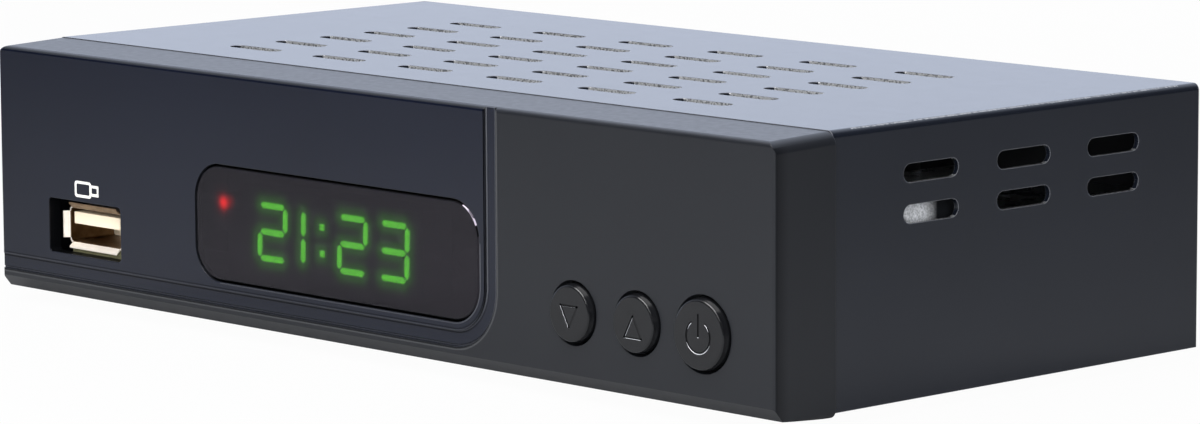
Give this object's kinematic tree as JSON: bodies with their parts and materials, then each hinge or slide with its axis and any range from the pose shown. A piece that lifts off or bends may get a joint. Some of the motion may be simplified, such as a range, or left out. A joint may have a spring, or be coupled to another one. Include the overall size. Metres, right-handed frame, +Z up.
{
  "type": "cable television receiver",
  "caption": "Low black set-top box with a moulded front, smoked clock window, USB socket and round push buttons, a slotted steel cover, and aerial, video, sound and power sockets at the rear.",
  "frame": {"origin": "on the table under the middle of the box, sockets and buttons included", "axes": "+X to the viewer's right along the front, +Y from the front to the rear, +Z up"},
  "size_m": [0.168, 0.0958, 0.0399],
  "materials": {
    "bezel_plastic": "fine satin moulding",
    "smoked_lens": "polished, smoked",
    "cover_paint": "fine semi-gloss paint",
    "chassis_paint": "fine semi-matt paint",
    "foot_rubber": "matt",
    "dark_screw": "black zinc",
    "plated_screw": "zinc plated",
    "circuit_board": "solder mask",
    "display_body": "matt",
    "lit_green": "lit",
    "lit_red": "lit",
    "sensor_epoxy": "dark clear epoxy",
    "switch_body": "moulded",
    "black_plastic": "moulded",
    "button_plastic": "satin",
    "nickel_shell": "nickel plated",
    "cream_plastic": "moulded",
    "gold_contact": "gold flash",
    "chip_epoxy": "moulded epoxy",
    "bare_aluminium": "extruded",
    "tinned_steel": "tin plate",
    "capacitor_sleeve": "shrink sleeve",
    "ferrite": "sintered",
    "white_plastic": "moulded",
    "orange_plastic": "moulded"
  },
  "bodies": {
    "housing": {"front_bezel": "bezel_plastic", "display_window": "smoked_lens", "top_cover": "cover_paint", "base_chassis": "chassis_paint", "rubber_feet": "foot_rubber", "cover_screws": "dark_screw", "front_board": "circuit_board", "front_board_screws": "plated_screw", "display_module": "display_body", "display_segments": "lit_green", "status_led": "lit_red", "ir_receiver": "sensor_epoxy", "tact_switches": "switch_body", "main_board": "circuit_board", "board_screws": "plated_screw", "usb_shell": "nickel_shell", "usb_tongue": "cream_plastic", "usb_contacts": "gold_contact", "main_processor": "chip_epoxy", "heatsink": "bare_aluminium", "memory_chips": "chip_epoxy", "flash_chip": "chip_epoxy", "regulator_chips": "chip_epoxy", "cooling_plate": "bare_aluminium", "power_regulator": "chip_epoxy", "plate_screw": "plated_screw", "crystal": "tinned_steel", "filter_capacitors": "capacitor_sleeve", "power_inductors": "ferrite", "link_socket": "black_plastic", "link_header": "black_plastic", "link_pins": "gold_contact", "tuner_can": "tinned_steel", "tuner_lid": "tinned_steel", "rf_in_shell": "nickel_shell", "rf_in_insulator": "white_plastic", "rf_in_contact": "gold_contact", "rf_out_shell": "nickel_shell", "rf_out_insulator": "white_plastic", "rf_out_pin": "gold_contact", "scart_socket": "black_plastic", "scart_contacts": "tinned_steel", "hdmi_shell": "nickel_shell", "hdmi_tongue": "black_plastic", "spdif_body": "orange_plastic", "spdif_barrel": "nickel_shell", "dc_jack": "black_plastic", "dc_pin": "nickel_shell"},
    "down_key": {"down_button": "button_plastic", "down_plunger": "black_plastic"},
    "up_key": {"up_button": "button_plastic", "up_plunger": "black_plastic"},
    "power_key": {"power_button": "button_plastic", "power_plunger": "black_plastic"}
  },
  "joints": [
    {"name": "down_press", "type": "slide", "parent": "housing", "child": "down_key", "axis": [0, 1, 0], "range_m": [0, 0.0005], "stiffness_N_per_m": 3000},
    {"name": "up_press", "type": "slide", "parent": "housing", "child": "up_key", "axis": [0, 1, 0], "range_m": [0, 0.0005], "stiffness_N_per_m": 3000},
    {"name": "power_press", "type": "slide", "parent": "housing", "child": "power_key", "axis": [0, 1, 0], "range_m": [0, 0.0005], "stiffness_N_per_m": 3000}
  ]
}
